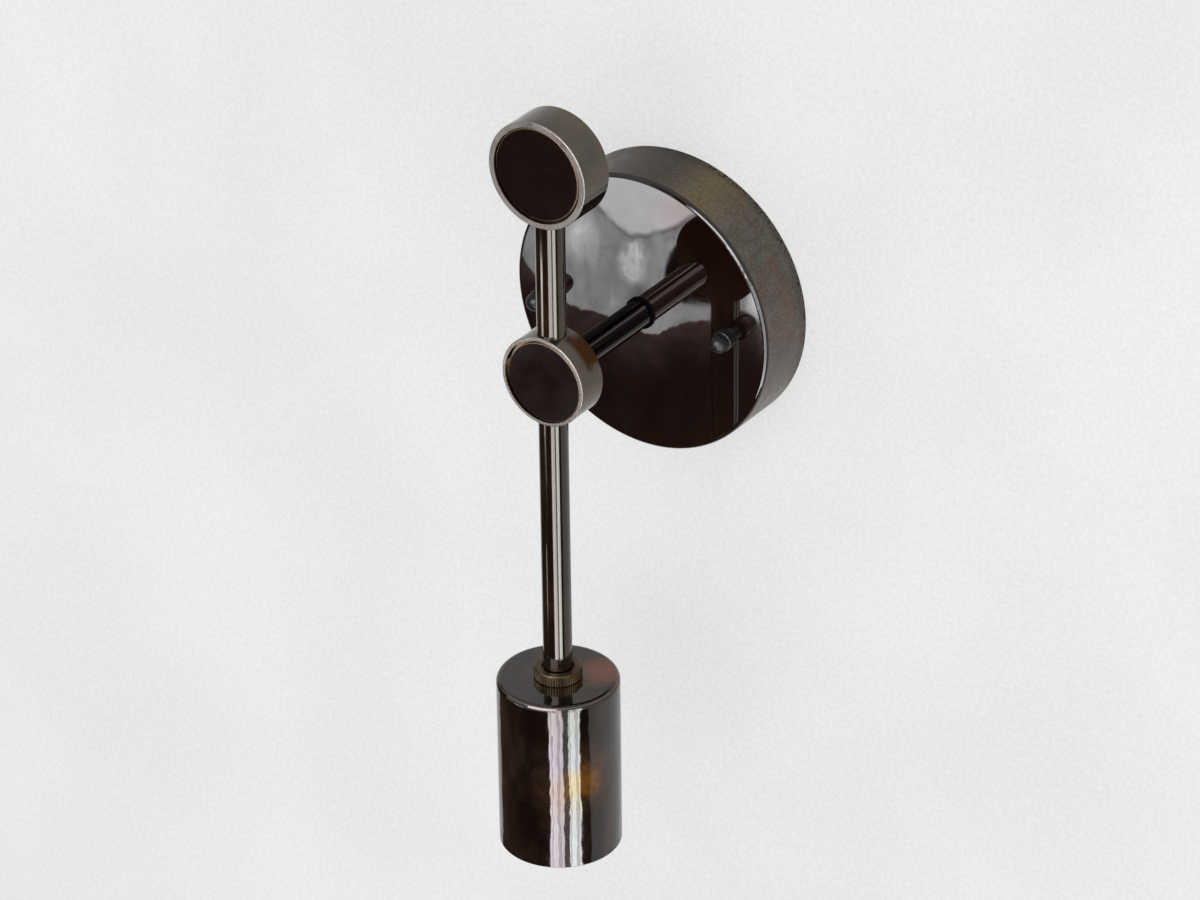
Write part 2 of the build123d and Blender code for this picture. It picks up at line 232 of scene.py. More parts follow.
def canopy_finish():
    """Mirror-dark lacquer on the face, a satin blotched patina on the side with painted shading, darker
    towards the top and the left, bare inside.
    """
    f = Finish("canopy_bronze", IOR=1.5)
    x, y, z = f.axes()
    depth = f.times(y, -1.0)
    radius = f.radius(x, z)
    face = f.step(depth, canopy_depth - 0.8 * MM, canopy_depth - 0.6 * MM)
    outside = f.step(radius, canopy_radius - 1.1 * MM, canopy_radius - 0.9 * MM)
    edge = f.times(outside, f.step(depth, canopy_depth - 2.6 * MM, canopy_depth - 1.6 * MM))
    glossy = f.math("MAXIMUM", face, edge)
    side = f.math("SUBTRACT", outside, edge, clamp=True)

    blotches = f.ramp(
        f.noise(30.0, 5.0, 0.62, 0.9),
        (0.34, (0.09, 0.08, 0.075)),
        (0.43, (0.1, 0.094, 0.073)),
        (0.5, (0.106, 0.091, 0.081)),
        (0.59, (0.128, 0.09, 0.068)),
        (0.68, (0.095, 0.08, 0.072)),
    )
    cloud = f.noise(110.0, 5.0, 0.62, 0.3)
    side_color = f.blend(f.step(cloud, 0.4, 0.7, 0.0, 0.5), blotches, (0.15, 0.135, 0.122))
    side_color = f.blend(f.spot(x, z, (24, 58), (24, 22)), side_color, (0.16, 0.128, 0.075))
    grit = f.step(f.noise(700.0, 4.0, 0.75), 0.35, 0.65, 0.76, 1.22)
    # Painted shading on the side: brighter towards the bottom, darker towards the top and the left,
    # times the grit's random tone.
    grit_and_painted_shade = f.step(z, -45 * MM, 30 * MM, 1.2, 0.98)
    grit_and_painted_shade = f.times(grit_and_painted_shade, f.step(x, 22 * MM, 2 * MM, 1.0, 0.66))
    grit_and_painted_shade = f.times(grit, grit_and_painted_shade)
    shaded = f.add("ShaderNodeVectorMath", {0: side_color, "Scale": grit_and_painted_shade}, operation="SCALE")
    side_color = shaded.outputs[0]
    near_wall = f.step(depth, 0.5 * MM, 6 * MM, 1.0, 0.0)
    speck = f.step(f.noise(700.0, 2.0, 0.7), 0.5, 0.58)
    side_color = f.blend(f.times(near_wall, speck), side_color, (0.02, 0.016, 0.014))
    browner = f.step(f.noise(22.0, 3.0, 0.5, 0.5), 0.4, 0.75)
    face_color = f.blend(browner, (0.009, 0.0036, 0.0026), (0.017, 0.0068, 0.004))
    fleck_x, fleck_z = -58.9 * MM, -1.2 * MM
    fleck = f.step(f.radius(x, z, fleck_x, fleck_z), 0.7 * MM, 1.2 * MM, 1.0, 0.0)
    face_color = f.blend(fleck, face_color, (0.001, 0.001, 0.001))
    inside_color = f.blend(f.noise(60.0, 4.0, 0.6), (0.08, 0.062, 0.05), (0.17, 0.145, 0.125))
    color = f.blend(side, inside_color, side_color)
    f.give("Base Color", f.blend(glossy, color, face_color))
    f.give("Metallic", f.times(side, 0.85))

    haze = f.step(f.noise(40.0, 5.0, 0.6, 1.2), 0.45, 0.8, 0.015, 0.06)
    satin = f.step(cloud, 0.3, 0.75, 0.26, 0.44)
    f.give("Roughness", f.mix(glossy, satin, haze))
    ripple = f.plus(f.noise(14.0, 1.0, 0.4), f.times(f.noise(70.0, 1.0, 0.4), 0.04))
    wave = f.bump(ripple, 0.3 * MM)
    grain = f.bump(f.noise(1400.0, 3.0, 0.6), 0.03 * MM, 0.35, wave)
    normal = f.add("ShaderNodeMix", {"Factor": glossy, 4: grain, 5: wave}, data_type="VECTOR")
    f.give("Normal", normal.outputs[1])
    return f.material


def tube_finish(name, color, patch, roughness, along):
    """Polished dark tube with faint draw lines along one axis (0, 1 or 2)."""
    f = Finish(name, IOR=1.6, Specular_Tint=(1.0, 0.93, 0.84, 1.0))
    stretch = [1.0, 1.0, 1.0]
    stretch[along] = 0.06
    lines = f.stretched(stretch)
    f.give("Base Color", f.blend(f.step(f.noise(30.0, 3.0, 0.5, 0.6), 0.42, 0.72), color, patch))
    f.give("Roughness", f.step(f.noise(700.0, 3.0, 0.6, 0.0, lines), 0.3, 0.8, *roughness))
    f.give("Normal", f.bump(f.noise(500.0, 2.0, 0.5, 0.0, lines), 0.02 * MM, 0.25))
    return f.material


def cup_finish():
    """Glossy dark bronze with brown mottling, an amber patch and temper tints down the sides."""
    f = Finish("cup_bronze", IOR=1.6)
    x, y, z = f.axes()
    mottle = f.ramp(
        f.noise(48.0, 5.0, 0.6, 0.8, f.stretched((1.0, 1.0, 0.6))),
        (0.4, (0.0012, 0.0008, 0.0006)),
        (0.5, (0.0055, 0.003, 0.0018)),
        (0.58, (0.0135, 0.0075, 0.0048)),
        (0.7, (0.036, 0.0165, 0.008)),
    )
    amber_x, amber_y, amber_z = 22.4 * MM, rod_y - 14.2 * MM, cup_high.z - 39 * MM
    chord = f.radius(x, y, amber_x, amber_y)
    rise = f.times(f.minus(z, amber_z), 1.05)
    rise = f.plus(rise, f.times(f.minus(x, amber_x), -0.35))
    wobble = f.times(f.noise(120.0, 5.0, 0.7, 0.5), 0.028)
    reach = f.plus(f.radius(chord, rise), wobble)
    color = f.blend(f.step(reach, 18 * MM, 42 * MM, 0.6, 0.0), mottle, (0.055, 0.027, 0.012))
    amber = f.step(reach, 15 * MM, 28 * MM, 1.0, 0.0)
    color = f.blend(f.times(amber, 0.68), color, (0.22, 0.08, 0.012))
    top_x, top_y = 14 * MM, rod_y + 13 * MM
    top_patch = f.step(f.radius(x, y, top_x, top_y), 3 * MM, 16 * MM, 0.75, 0.0)
    on_top = f.step(z, cup_high.z - 3 * MM, cup_high.z - 1 * MM)
    color = f.blend(f.times(top_patch, on_top), color, (0.19, 0.055, 0.014))
    from_axis = f.radius(x, y, 0.0, rod_y)
    inside = f.step(from_axis, cup_radius - 0.8 * MM, cup_radius - 0.5 * MM, 1.0, 0.0)
    below = f.step(z, cup_high.z - 0.8 * MM, cup_high.z - 0.5 * MM, 1.0, 0.0)
    inner = f.times(inside, below)
    f.give("Base Color", f.blend(inner, color, (0.16, 0.12, 0.09)))
    tint = f.ramp(
        f.plus(f.step(z, cup_low.z, cup_high.z, 0.0, 0.9), f.times(wobble, 6.0)),
        (0.2, (1.0, 0.93, 0.94)),
        (0.5, (1.0, 0.84, 0.7)),
        (0.72, (0.96, 0.92, 1.0)),
        (1.0, (1.0, 0.9, 0.84)),
    )
    tint = f.blend(amber, tint, (1.0, 0.84, 0.55))
    f.give("Specular Tint", tint)
    polish = f.step(f.noise(60.0, 4.0, 0.6, 0.5), 0.35, 0.8, 0.05, 0.12)
    f.give("Roughness", f.mix(inner, polish, 0.5))
    wave = f.bump(f.noise(55.0, 3.0, 0.5, 0.2, f.stretched((1.0, 1.0, 0.55))), 0.6 * MM, 0.8)
    dents = f.noise(150.0, 3.0, 0.6, 0.0, f.stretched((1.0, 1.0, 0.5)))
    f.give("Normal", f.bump(dents, 0.045 * MM, 0.45, wave))
    return f.material


def hub_finish(name, front_y, centre_z, radius, rim):
    """Dark polished gunmetal drum, its front rim worn down to pale metal round a dark recess, with
    painted shading in dark brown on the back of its side beside the arm.
    """
    f = Finish(name)
    x, y, z = f.axes()
    base = f.ramp(
        f.noise(45.0, 4.0, 0.6, 0.6),
        (0.3, (0.085, 0.074, 0.066)),
        (0.55, (0.115, 0.097, 0.082)),
        (0.75, (0.145, 0.108, 0.08)),
    )
    from_axis = f.radius(x, z, 0.0, centre_z)
    # Painted shading: a dark brown patch with an uneven edge on the back of the side, at the upper
    # right, beside the arm.
    uneven = f.step(f.noise(140.0, 3.0, 0.6), 0.3, 0.7, -0.25, 0.25)
    arm_painted_shading = f.plus(f.spot(x, z, (14, 14), (15, 15)), uneven)
    behind = f.step(y, front_y + 4.5 * MM, front_y + 8.5 * MM)
    arm_painted_shading = f.times(f.step(arm_painted_shading, 0.1, 0.65), behind)
    base = f.blend(arm_painted_shading, base, (0.045, 0.017, 0.003))
    recess = f.step(from_axis, radius - rim + 0.05 * MM, radius - rim + 0.15 * MM, 1.0, 0.0)
    front = f.step(y, front_y + 0.3 * MM, front_y + 0.7 * MM, 1.0, 0.0)
    worn = f.times(front, f.step(f.noise(110.0, 4.0, 0.6), 0.3, 0.62, 0.4, 1.0))
    base = f.blend(worn, base, (0.22, 0.2, 0.185))
    f.give("Base Color", f.blend(recess, base, (0.075, 0.052, 0.036)))
    f.give("Metallic", f.minus(0.92, f.times(worn, 0.5)))
    sheen = f.step(f.noise(90.0, 4.0, 0.6), 0.3, 0.75, 0.05, 0.13)
    f.give("Roughness", f.plus(sheen, f.times(worn, 0.32)))
    f.give("Normal", f.bump(f.noise(60.0, 3.0, 0.6), 0.06 * MM, 0.5))
    return f.material


def disc_finish(name, centre_x, centre_z, radius):
    """Very dark disc with faint wiping marks, sparse specks and a bare copper edge."""
    f = Finish(name, IOR=1.1)
    x, y, z = f.axes()
    from_axis = f.radius(x, z, centre_x, centre_z)
    edge = f.step(from_axis, radius - 0.36 * MM, radius - 0.26 * MM)
    dark = f.blend(f.noise(50.0, 4.0, 0.6, 1.0), (0.0085, 0.0038, 0.0032), (0.013, 0.0066, 0.0058))
    wipe = f.step(f.noise(70.0, 2.0, 0.6, 0.0, f.stretched((1.0, 1.0, 7.0))), 0.6, 0.75)
    dark = f.blend(f.times(wipe, 0.3), dark, (0.024, 0.013, 0.011))
    speck = f.step(f.noise(420.0, 1.0, 0.5), 0.76, 0.8, 0.0, 0.7)
    dark = f.blend(speck, dark, (0.05, 0.04, 0.036))
    f.give("Base Color", f.blend(edge, dark, (0.26, 0.18, 0.125)))
    f.give("Metallic", f.times(edge, 0.15))
    wiped = f.step(f.noise(120.0, 3.0, 0.6), 0.3, 0.8, 0.08, 0.16)
    f.give("Roughness", f.plus(wiped, f.times(edge, 0.35)))
    return f.material


def nut_finish():
    """Near-black brass, satin but for the edges of the body, which are worn bright: their paler colour
    is wear and a painted highlight.
    """
    f = Finish("dark_nut", IOR=1.3)
    rise = f.minus(f.times(f.axes()[1], -1.0), canopy_depth)
    # Paler, polished rings at both edges of the body: wear and a painted highlight.
    wear_and_painted_highlight = 0.0
    for place in (nut_body_start, nut_body_end):
        away = f.math("ABSOLUTE", f.minus(rise, place))
        wear_and_painted_highlight = f.plus(wear_and_painted_highlight, f.step(away, 0.2 * MM, 0.45 * MM, 1.0, 0.0))
    wear_and_painted_highlight = f.times(wear_and_painted_highlight, f.step(f.noise(330.0, 2.0, 0.6), 0.42, 0.6, 0.15, 1.0))
    paler = f.step(f.noise(200.0, 4.0, 0.6, 0.4), 0.35, 0.7)
    black = f.blend(paler, (0.003, 0.003, 0.003), (0.012, 0.0125, 0.011))
    f.give("Base Color", f.blend(wear_and_painted_highlight, black, (0.075, 0.07, 0.056)))
    satin = f.step(f.noise(800.0, 3.0, 0.6), 0.3, 0.8, 0.3, 0.42)
    f.give("Roughness", f.mix(wear_and_painted_highlight, satin, 0.08))
    f.give("Normal", f.bump(f.noise(1200.0, 3.0, 0.6), 0.02 * MM, 0.3))
    return f.material


def plain_finish(name, color, other, scale, roughness, metallic=0.0, ior=1.5):
    """Two-tone finish with fine grain."""
    f = Finish(name, Metallic=metallic, IOR=ior)
    f.give("Base Color", f.blend(f.step(f.noise(scale, 4.0, 0.6, 0.4), 0.35, 0.7), color, other))
    f.give("Roughness", f.step(f.noise(scale * 4, 3.0, 0.6), 0.3, 0.8, roughness, roughness + 0.12))
    f.give("Normal", f.bump(f.noise(1200.0, 3.0, 0.6), 0.02 * MM, 0.3))
    return f.material


def paint(node, material):
    """Puts one material on a node of the frame."""
    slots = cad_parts[node].data.materials
    slots.clear()
    slots.append(material)


def finish_nodes():
    """Every node of the frame gets its finish."""
    zinc = plain_finish("zinc_steel", (0.42, 0.43, 0.44), (0.6, 0.6, 0.58), 90.0, 0.28, 1.0)
    brass = plain_finish("shell_brass", (0.62, 0.44, 0.17), (0.74, 0.56, 0.26), 80.0, 0.24, 1.0)
    nut = nut_finish()
    rod = tube_finish("rod_bronze", (0.006, 0.0034, 0.0018), (0.024, 0.012, 0.0045), (0.04, 0.13), 2)
    arm = tube_finish("arm_bronze", (0.0005, 0.0004, 0.0004), (0.002, 0.0012, 0.0009), (0.01, 0.045), 1)
    finishes = {
        "canopy": canopy_finish(),
        "socket_cup": cup_finish(),
        "arm_tube": arm,
        "upper_rod": rod,
        "lower_rod": rod,
        "base_washer": plain_finish(
            "dark_washer", (0.0006, 0.0005, 0.0005), (0.002, 0.0015, 0.0013), 150.0, 0.4, ior=1.1
        ),
        "cap_nut_left": nut,
        "cap_nut_right": nut,
        "knurled_ring": plain_finish(
            "ring_bronze", (0.055, 0.038, 0.02), (0.11, 0.078, 0.04), 160.0, 0.32, 0.8
        ),
        "ground_screw": plain_finish(
            "green_screw", (0.03, 0.2, 0.07), (0.04, 0.26, 0.09), 150.0, 0.3
        ),
        "holder_cap": plain_finish(
            "holder_metal", (0.52, 0.5, 0.46), (0.64, 0.62, 0.58), 70.0, 0.3, 1.0
        ),
        "holder_body": plain_finish(
            "holder_plastic", (0.012, 0.012, 0.012), (0.02, 0.02, 0.02), 120.0, 0.45
        ),
    }
    for name, rim in (("lower_hub", 1.55 * MM), ("top_hub", 2.6 * MM)):
        low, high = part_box(name)
        finishes[name] = hub_finish(f"{name}_metal", low.y, (low.z + high.z) / 2, high.x, rim)
    for name in ("lower_hub_disc", "top_hub_disc"):
        low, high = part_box(name)
        centre = (low + high) / 2
        radius = (high.x - low.x) / 2
        finishes[name] = disc_finish(f"{name}_bronze", centre.x, centre.z, radius)
    for name in ("screw_shell", "centre_contact", "terminal_plates", "terminal_screws"):
        finishes[name] = brass
    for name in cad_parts:
        paint(name, finishes.get(name, zinc))
    return zinc, brass, nut


def rolled_thread(
    shaped, origin, axis, length, outer, height, pitch, bore=0.0, flange=0.0, sides=40
):
    """Adds a tube or rod to a mesh, with a rounded helical thread that eases out at both ends.

    The outer radius is the crests'. With a flange, the bore follows the thread as in thin sheet,
    and the sheet turns in at the start to the flange's radius. A bore of 0 gives a solid rod.
    """
    axis = Vector(axis)
    across = axis.orthogonal().normalized()
    other = axis.cross(across)
    rows_per_turn = 6
    rows = int(length / pitch * rows_per_turn)

    def ring(along, radius, wave):
        points = []
        for i in range(sides):
            angle = 2 * math.pi * i / sides
            phase = 2 * math.pi * along / pitch - angle
            r = radius + wave * 0.5 * (math.cos(phase) - 1)
            side = across * math.cos(angle) + other * math.sin(angle)
            points.append(shaped.verts.new(Vector(origin) + axis * along + side * r))
        return points

    def ease(along):
        return min(1.0, along / pitch, (length - along) / pitch)

    rings = []
    for row in range(rows + 1):
        along = length * row / rows
        slope = 0.0 if flange else height * (1 - ease(along))
        rings.append(ring(along, outer - slope, height * ease(along)))
    if flange:
        for row in range(rows, -1, -1):
            along = max(outer - bore, length * row / rows)
            rings.append(ring(along, bore, height * ease(along)))
        rings.append(ring(outer - bore, flange, 0.0))
        rings.append(ring(0.0, flange, 0.0))
    elif bore:
        rings.append(ring(length, bore, 0.0))
        rings.append(ring(0.0, bore, 0.0))
    pairs = list(zip(rings, rings[1:]))
    if bore:
        pairs.append((rings[-1], rings[0]))
    else:
        shaped.faces.new(rings[0])
        shaped.faces.new(rings[-1])
    for a, b in pairs:
        for i in range(sides):
            j = (i + 1) % sides
            shaped.faces.new((a[i], b[i], b[j], a[j]))


def fit_piece(name, shaped, material, body, node):
    """Puts a modelled piece in the place of a node."""
    bmesh.ops.recalc_face_normals(shaped, faces=shaped.faces)
    mesh = bpy.data.meshes.new(name)
    shaped.to_mesh(mesh)
    shaped.free()
    mesh.shade_smooth()
    mesh.set_sharp_from_angle(angle=math.radians(50))
    mesh.materials.append(material)
    piece = bpy.data.objects.new(name, mesh)
    bpy.context.scene.collection.objects.link(piece)
    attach(piece, body)
    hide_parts(node)


def add_threads(zinc, brass):
    """Rolled threads where they show: lamp socket, canopy studs and the arm's nipple."""
    shell = bmesh.new()
    rolled_thread(
        shell,
        (0, rod_y, shell_high.z),
        (0, 0, -1),
        length=shell_high.z - shell_low.z,
        outer=shell_high.x,
        height=0.7 * MM,
        pitch=3.63 * MM,
        bore=shell_high.x - shell_sheet,
        flange=9 * MM,
        sides=64,
    )
    fit_piece("screw_shell_thread", shell, brass, "arm", "screw_shell")

    studs = bmesh.new()
    for corner, sign in ((studs_high, -1), (studs_low, 1)):
        rolled_thread(
            studs,
            (corner.x + sign * stud_radius, studs_high.y, corner.z + sign * stud_radius),
            (0, -1, 0),
            length=studs_high.y - studs_low.y,
            outer=stud_radius,
            height=0.4 * MM,
            pitch=0.794 * MM,
            sides=24,
        )
    fit_piece("canopy_stud_threads", studs, zinc, "wall_plate", "canopy_studs")

    nipple = bmesh.new()
    rolled_thread(
        nipple,
        (0, arm_nipple_high.y, 0),
        (0, -1, 0),
        length=arm_nipple_high.y - arm_nipple_low.y,
        outer=arm_nipple_high.x,
        height=0.5 * MM,
        pitch=0.94 * MM,
        bore=arm_nipple_bore_radius,
    )
    fit_piece("arm_nipple_thread", nipple, zinc, "arm", "arm_nipple")


def turned(shaped, origin, axis, profile, sides=64):
    """Adds a turned solid to a mesh.

    Its profile is (along, radius) points in millimetres, which start and end on the axis.
    """
    axis = Vector(axis)
    across = axis.orthogonal().normalized()
    other = axis.cross(across)
    rings = []
    for along, radius in profile:
        middle = Vector(origin) + axis * along * MM
        count = sides if radius else 1
        rings.append([])
        for i in range(count):
            angle = 2 * math.pi * i / sides
            side = across * math.cos(angle) + other * math.sin(angle)
            rings[-1].append(shaped.verts.new(middle + side * radius * MM))
    for a, b in zip(rings, rings[1:]):
        for i in range(sides):
            j = (i + 1) % sides
            corners = [a[i % len(a)], b[i % len(b)], b[j % len(b)], a[j % len(a)]]
            shaped.faces.new(list(dict.fromkeys(corners)))


def bend(centre, radius, start, end, steps):
    """Points of a profile on an arc. Its angles go from 0, along the axis, to 90, away from it."""
    points = []
    for i in range(steps + 1):
        angle = math.radians(start + (end - start) * i / steps)
        points.append((centre[0] + radius * math.cos(angle), centre[1] + radius * math.sin(angle)))
    return points


def add_cap_nuts(nut):
    """Cap nuts with the rounded edges of turned brass: neck, body, step and dome, bored blind."""
    neck, bore, bore_depth = 3.0, 2.135, 8.5
    body, body_start, body_end = 4.5, nut_body_start / MM, nut_body_end / MM
    dome, dome_start = 4.1, 10.4
    foot, edge = 0.4, 0.3
    profile = [(bore_depth, 0), (bore_depth, bore), (0, bore), (0, neck), (body_start, neck)]
    profile += bend((body_start + foot, body - foot), foot, 180, 90, 5)
    profile += bend((body_end - edge, body - edge), edge, 90, 0, 4)
    profile += [(body_end, dome)]
    profile += bend((dome_start, 0), dome, 90, 0, 16)[:-1] + [(dome_start + dome, 0)]
    for side in ("left", "right"):
        low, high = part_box(f"cap_nut_{side}")
        shaped = bmesh.new()
        seat = ((low.x + high.x) / 2, high.y, (low.z + high.z) / 2)
        turned(shaped, seat, (0, -1, 0), profile)
        fit_piece(f"turned_nut_{side}", shaped, nut, f"{side}_cap_nut", f"cap_nut_{side}")


def stage_object(name, mesh, material, mirrored_only=False):
    """A stage object, which isn't part of the sconce. It may show in polished metal alone."""
    thing = bpy.data.objects.new(name, mesh)
    bpy.context.scene.collection.objects.link(thing)
    thing.data.materials.append(material)
    if mirrored_only:
        thing.visible_camera = False
        thing.visible_diffuse = False
        thing.visible_shadow = False
        thing.visible_transmission = False
    return thing


def wall_mesh(half, hole, sides=96):
    """Square wall just behind y = 0, with a round hole at the canopy, as a junction box leaves."""
    wall_y = 0.2 * MM
    vertices, faces = [], []
    for i in range(sides):
        angle = 2 * math.pi * i / sides
        reach = half / max(abs(math.cos(angle)), abs(math.sin(angle)))
        for r in (hole, reach):
            vertices.append((r * math.cos(angle), wall_y, r * math.sin(angle)))
    for i in range(sides):
        j = (i + 1) % sides
        faces.append((2 * i, 2 * i + 1, 2 * j + 1, 2 * j))
    mesh = bpy.data.meshes.new("wall")
    mesh.from_pydata(vertices, [], faces)
    mesh.update()
    return mesh


def make_wall():
    """Pale wall with a fine woven texture, seen from the room and clear from behind."""
    f = Finish("wall", Roughness=0.9, Specular_IOR_Level=0.0)
    weave = f.add(
        "ShaderNodeTexWave",
        {"Vector": f.place, "Scale": 210.0, "Distortion": 2.5, "Detail": 2.0, "Detail Scale": 1.5},
        bands_direction="DIAGONAL",
    ).outputs["Fac"]
    pebble = f.noise(520.0, 2.0, 0.6)
    height = f.plus(f.times(weave, 0.2), pebble)
    f.give("Normal", f.bump(height, 0.5 * MM, 0.7))
    patches = f.step(f.noise(7.0, 2.0, 0.5), 0.3, 0.7, 0.0, 0.4)
    tone = f.plus(patches, f.step(pebble, 0.3, 0.7, 0.0, 0.5))
    tone = f.plus(tone, f.times(weave, 0.1))
    color = f.blend(tone, (0.81, 0.812, 0.81), (0.925, 0.927, 0.922))
    f.give("Base Color", color)

    own_light = f.add("ShaderNodeEmission", {"Color": color}).outputs[0]
    seen = f.times(f.add("ShaderNodeLightPath").outputs["Is Camera Ray"], 0.6)
    front = f.add("ShaderNodeMixShader", {"Fac": seen, 1: f.shader.outputs[0], 2: own_light})
    clear = f.add("ShaderNodeBsdfTransparent").outputs[0]
    behind = f.add("ShaderNodeNewGeometry").outputs["Backfacing"]
    both = f.add("ShaderNodeMixShader", {"Fac": behind, 1: front.outputs[0], 2: clear})
    f.show(both.outputs[0])
    stage_object("wall", wall_mesh(3.0, canopy_radius - 2 * MM), f.material)


def glow(name, color=(1.0, 1.0, 1.0), strength=1.0):
    """Emission material for a panel that only polished metal sees."""
    f = Finish(name)
    f.tree.nodes.remove(f.shader)
    f.shader = f.add("ShaderNodeEmission", {"Color": (*color, 1), "Strength": strength})
    f.show(f.shader.outputs[0])
    return f


def panel(name, outline, centre, facing, material):
    """Flat panel for polished metal alone, from (across, up) points round its centre."""
    facing = Vector(facing).normalized()
    right = Vector((0, 0, 1)).cross(facing).normalized()
    up = facing.cross(right)
    mesh = bpy.data.meshes.new(name)
    mesh.from_pydata([(a, b, 0) for a, b in outline], [], [(0, 1, 2, 3)])
    thing = stage_object(name, mesh, material, mirrored_only=True)
    place = Matrix((right, up, facing)).transposed().to_4x4()
    place.translation = Vector(centre)
    thing.matrix_world = place


def card(name, centre, facing, width, height, material):
    """Rectangular panel with its middle at centre."""
    a, b = width / 2, height / 2
    panel(name, [(-a, -b), (a, -b), (a, b), (-a, b)], centre, facing, material)


def make_windows():
    """Tall bright windows in front, whose upright streaks run down the rods and the cup.

    Each lies between two angles in degrees, to the right of the camera's, and two heights.
    """
    distance = 1.2
    low, high = -1.5, 0.32
    fade_start, fade_end = -0.78, 0.01
    windows = (
        ("window_left", -19, 7, (1.0, 0.96, 1.03), low, high, 13.0),
        ("window_right", 17, 39, (0.92, 1.04, 1.02), low, high, 15.0),
        ("window_between", 7, 17, (1.0, 0.97, 0.95), low, high, 0.9),
        ("window_far", -78, -73, (1.0, 0.95, 0.92), -0.85, -0.5, 4.5),
    )
    barred = ("window_left", "window_right")
    for name, start, end, color, bottom, top, strength in windows:
        f = glow(name, color, strength)
        if name in barred:
            bars = f.noise(14.0, 3.0, 0.6, 0.0, f.stretched((1.0, 0.03, 1.0)))
            bars = f.step(bars, 0.36, 0.64, 0.5, 1.3)
            fade = f.step(f.axes()[1], fade_start, fade_end, 1.0, 0.6)
            f.give("Strength", f.times(f.times(bars, fade), strength))
        toward = direction(camera_azimuth + math.radians((start + end) / 2), 0)
        middle = Vector((0, rod_y, (bottom + top) / 2)) + toward * distance
        width = 2 * distance * math.tan(math.radians((end - start) / 2))
        card(name, middle, -toward, width, top - bottom, f.material)


def cloud_edge(f, across):
    """Height of the cloud's uneven lower edge. Its points are in millimetres on the panel."""
    edge = (
        (-90, -20), (-72, -16), (-66, 6), (-62, 11), (-56, 12.5), (-47, 11), (-36, 8), (-26, 7),
        (-20, 6), (-16, 2.5), (-10, 1.5), (-4, 2), (6, 7), (12, 12), (24, 16.5), (34, 19), (45, 28),
        (54, 41), (60, 52),
    )
    low_x, high_x, low_y, high_y = -90.0, 60.0, -20.0, 60.0
    stops = []
    for a, b in edge:
        share = (b - low_y) / (high_y - low_y)
        stops.append(((a - low_x) / (high_x - low_x), (share, share, share)))
    place = f.math("DIVIDE", f.minus(across, low_x * MM), (high_x - low_x) * MM)
    share = f.add("ShaderNodeSeparateColor", {"Color": f.ramp(place, *stops)}).outputs[0]
    return f.plus(f.times(share, (high_y - low_y) * MM), low_y * MM)


def cloud_below_fold(f, x, across, level, drift):
    """Strength of the cloud below its fold: glows, strokes, an upright swirl and a broken loop."""
    glows = (
        (x, (27, 55), (16, 19), 1.0, 4.3),
        (across, (-0.5, 41), (8.5, 15), 0.5, 1.3),
        (across, (-14, 45), (11, 18), 1.0, 0.9),
        (across, (-2, 25), (8, 7), 0.8, -1.7),
        (x, (10, 24), (7, 9), 1.0, 0.8),
        (x, (-66, 17), (9, 15), 0.8, 7.0),
        (x, (57, 40), (8, 16), 1.0, -1.4),
    )
    strength = 3.75
    for a, centre, size, soft, amount in glows:
        strength = f.plus(strength, f.times(f.spot(a, level, centre, size, soft), amount))
    strokes = f.noise(120.0, 4.0, 0.65, 0.6, f.stretched((1.0, 0.3, 1.0)))
    strength = f.times(strength, f.step(strokes, 0.3, 0.7, 0.82, 1.2))
    strength = f.times(strength, f.step(drift, 0.3, 0.7, 0.85, 1.15))
    upright = f.noise(210.0, 4.0, 0.65, 1.0, f.stretched((1.0, 0.22, 1.0)))
    swirl = f.spot(across, level, (-0.5, 42), (8.5, 14), 0.5)
    swirl = f.times(swirl, f.step(upright, 0.4, 0.6, 0.4, 3.6))
    wander = f.times(f.minus(f.noise(60.0, 2.0, 0.5), 0.5), 16 * MM)
    ring_x = f.times(f.plus(f.plus(across, wander), 1 * MM), 2.2)
    ring = f.radius(ring_x, f.minus(f.minus(level, wander), 42 * MM))
    loop = f.times(f.step(ring, 8 * MM, 10 * MM), f.step(ring, 10.5 * MM, 12.5 * MM, 1.0, 0.0))
    broken = f.step(f.noise(75.0, 3.0, 0.6), 0.4, 0.6, 0.0, 2.4)
    return f.plus(strength, f.plus(swirl, f.times(loop, broken)))


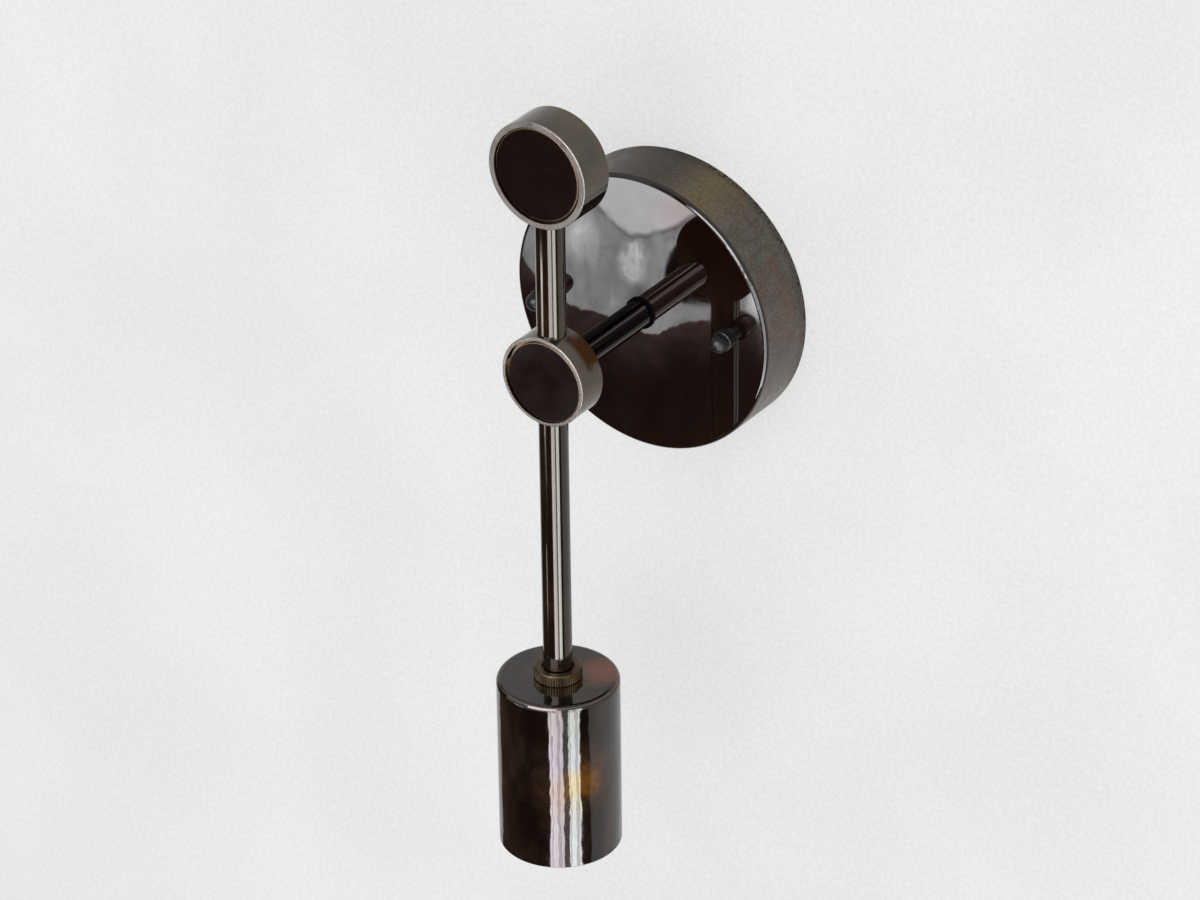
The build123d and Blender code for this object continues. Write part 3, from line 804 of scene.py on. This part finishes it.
def make_cloud():
    """Bright cloudy reflector near the canopy, which its face mirrors above an uneven edge.

    Its X and Y are those of the panel: X to the left in the picture, Y up.
    """
    f = glow("cloud")
    x, y, z = f.axes()
    warp = f.times(f.minus(f.noise(45.0, 3.0, 0.6), 0.5), 9 * MM)
    fine = f.times(f.minus(f.noise(170.0, 5.0, 0.7, 0.6), 0.5), 5 * MM)
    across = f.plus(x, f.plus(fine, f.times(warp, 0.6)))
    level = f.plus(y, f.plus(fine, f.times(warp, 0.5)))
    above = f.minus(level, cloud_edge(f, across))
    lit = f.step(above, -0.6 * MM, 0.8 * MM)
    fringe = f.step(above, -30 * MM, 0.0, 0.07, 0.42)
    fringe = f.times(fringe, f.step(f.noise(60.0, 4.0, 0.65, 0.8), 0.3, 0.7, 0.55, 1.3))

    drift = f.noise(50.0, 5.0, 0.66, 1.4)
    lower = cloud_below_fold(f, x, across, level, drift)
    upper = f.step(drift, 0.3, 0.7, 7.9, 8.8)
    fold = f.times(f.minus(x, 1.5 * MM), 0.98)
    fold = f.math("MAXIMUM", fold, f.times(f.plus(x, 7 * MM), -0.32))
    fold = f.plus(f.math("MAXIMUM", fold, 0.0), 55.5 * MM)
    over_fold = f.minus(f.plus(y, f.times(fine, 0.5)), fold)
    crease = f.step(f.math("ABSOLUTE", over_fold), 0.4 * MM, 2.2 * MM, 0.62, 1.0)
    strength = f.mix(f.step(over_fold, -1 * MM, 2.5 * MM), lower, upper)
    strength = f.times(f.times(strength, crease), lit)
    strength = f.math("MAXIMUM", strength, fringe)
    dark_spot = f.step(f.radius(x, y, -36 * MM, 35.5 * MM), 18.5 * MM, 20 * MM)
    strength = f.times(strength, dark_spot)
    f.give("Strength", f.times(strength, f.step(y, 94 * MM, 98 * MM, 1.0, 0.02)))
    color = f.blend(lit, (1.0, 0.72, 0.66), (0.98, 0.98, 1.0))
    pink = f.spot(x, y, (-26, 68), (22, 12))
    f.give("Color", f.blend(pink, color, (1.0, 0.85, 0.87)))

    mirrored = Vector((-0.5, -0.7071, -0.5)).normalized()
    centre = Vector((0, -canopy_depth, 0)) + mirrored * 0.6
    left, right, bottom, top = -95 * MM, 80 * MM, -50 * MM, 170 * MM
    outline = ((left, bottom), (right, bottom), (right, top), (left, top))
    panel("cloud", outline, centre, -mirrored, f.material)


def make_high_light():
    """Bright panel in front and above, for the thin line along the front edges."""
    f = glow("high_light", (1.0, 0.98, 1.0), 14.0)
    toward = direction(math.radians(4), math.radians(24))
    card("high_light", toward * 1.6, -toward, 1.4, 1.0, f.material)


def make_dark_room():
    """Dark floor and dark left side, as the polished metal sees them."""
    f = glow("dark_room", (0.09, 0.054, 0.043))
    half, floor_z = 5.0, -1.6
    floor = bpy.data.meshes.new("dark_floor")
    corners = ((-half, -half), (half, -half), (half, 0), (-half, 0))
    floor.from_pydata([(x, y, floor_z) for x, y in corners], [], [(0, 1, 2, 3)])
    stage_object("dark_floor", floor, f.material, mirrored_only=True)
    card("dark_left", (-0.4, -0.14, -0.35), (1, 0, 0), 0.26, 0.9, f.material)


def make_light():
    """Pale even world, and one large soft lamp in front, a little above and to the right."""
    world = bpy.data.worlds.new("world")
    bpy.context.scene.world = world
    world.use_nodes = True
    tree = world.node_tree
    backdrop = tree.nodes["Background"]
    backdrop.inputs["Color"].default_value = (0.86, 0.86, 0.855, 1)
    ambient = tree.nodes.new("ShaderNodeBackground")
    ambient.inputs["Color"].default_value = (0.98, 0.99, 1.0, 1)
    ambient.inputs["Strength"].default_value = 0.68
    path = tree.nodes.new("ShaderNodeLightPath")
    seen = path.outputs["Is Camera Ray"]
    for name in ("Is Glossy Ray", "Is Transmission Ray"):
        either = tree.nodes.new("ShaderNodeMath")
        either.operation = "MAXIMUM"
        tree.links.new(seen, either.inputs[0])
        tree.links.new(path.outputs[name], either.inputs[1])
        seen = either.outputs[0]
    mix = tree.nodes.new("ShaderNodeMixShader")
    tree.links.new(seen, mix.inputs["Fac"])
    tree.links.new(ambient.outputs[0], mix.inputs[1])
    tree.links.new(backdrop.outputs[0], mix.inputs[2])
    tree.links.new(mix.outputs[0], tree.nodes["World Output"].inputs["Surface"])

    lamp = bpy.data.lights.new("soft_lamp", "AREA")
    lamp.size = 2.4
    lamp.energy = 17.0
    place = bpy.data.objects.new("soft_lamp", lamp)
    bpy.context.scene.collection.objects.link(place)
    place.location = direction(math.radians(16), math.radians(17)) * 2.2
    place.rotation_euler = (-place.location).to_track_quat("-Z", "Y").to_euler()


make_camera()
zinc_material, brass_material, nut_material = finish_nodes()
add_threads(zinc_material, brass_material)
add_cap_nuts(nut_material)
make_wall()
make_windows()
make_cloud()
make_high_light()
make_dark_room()
make_light()
bpy.context.scene.view_settings.view_transform = "Standard"
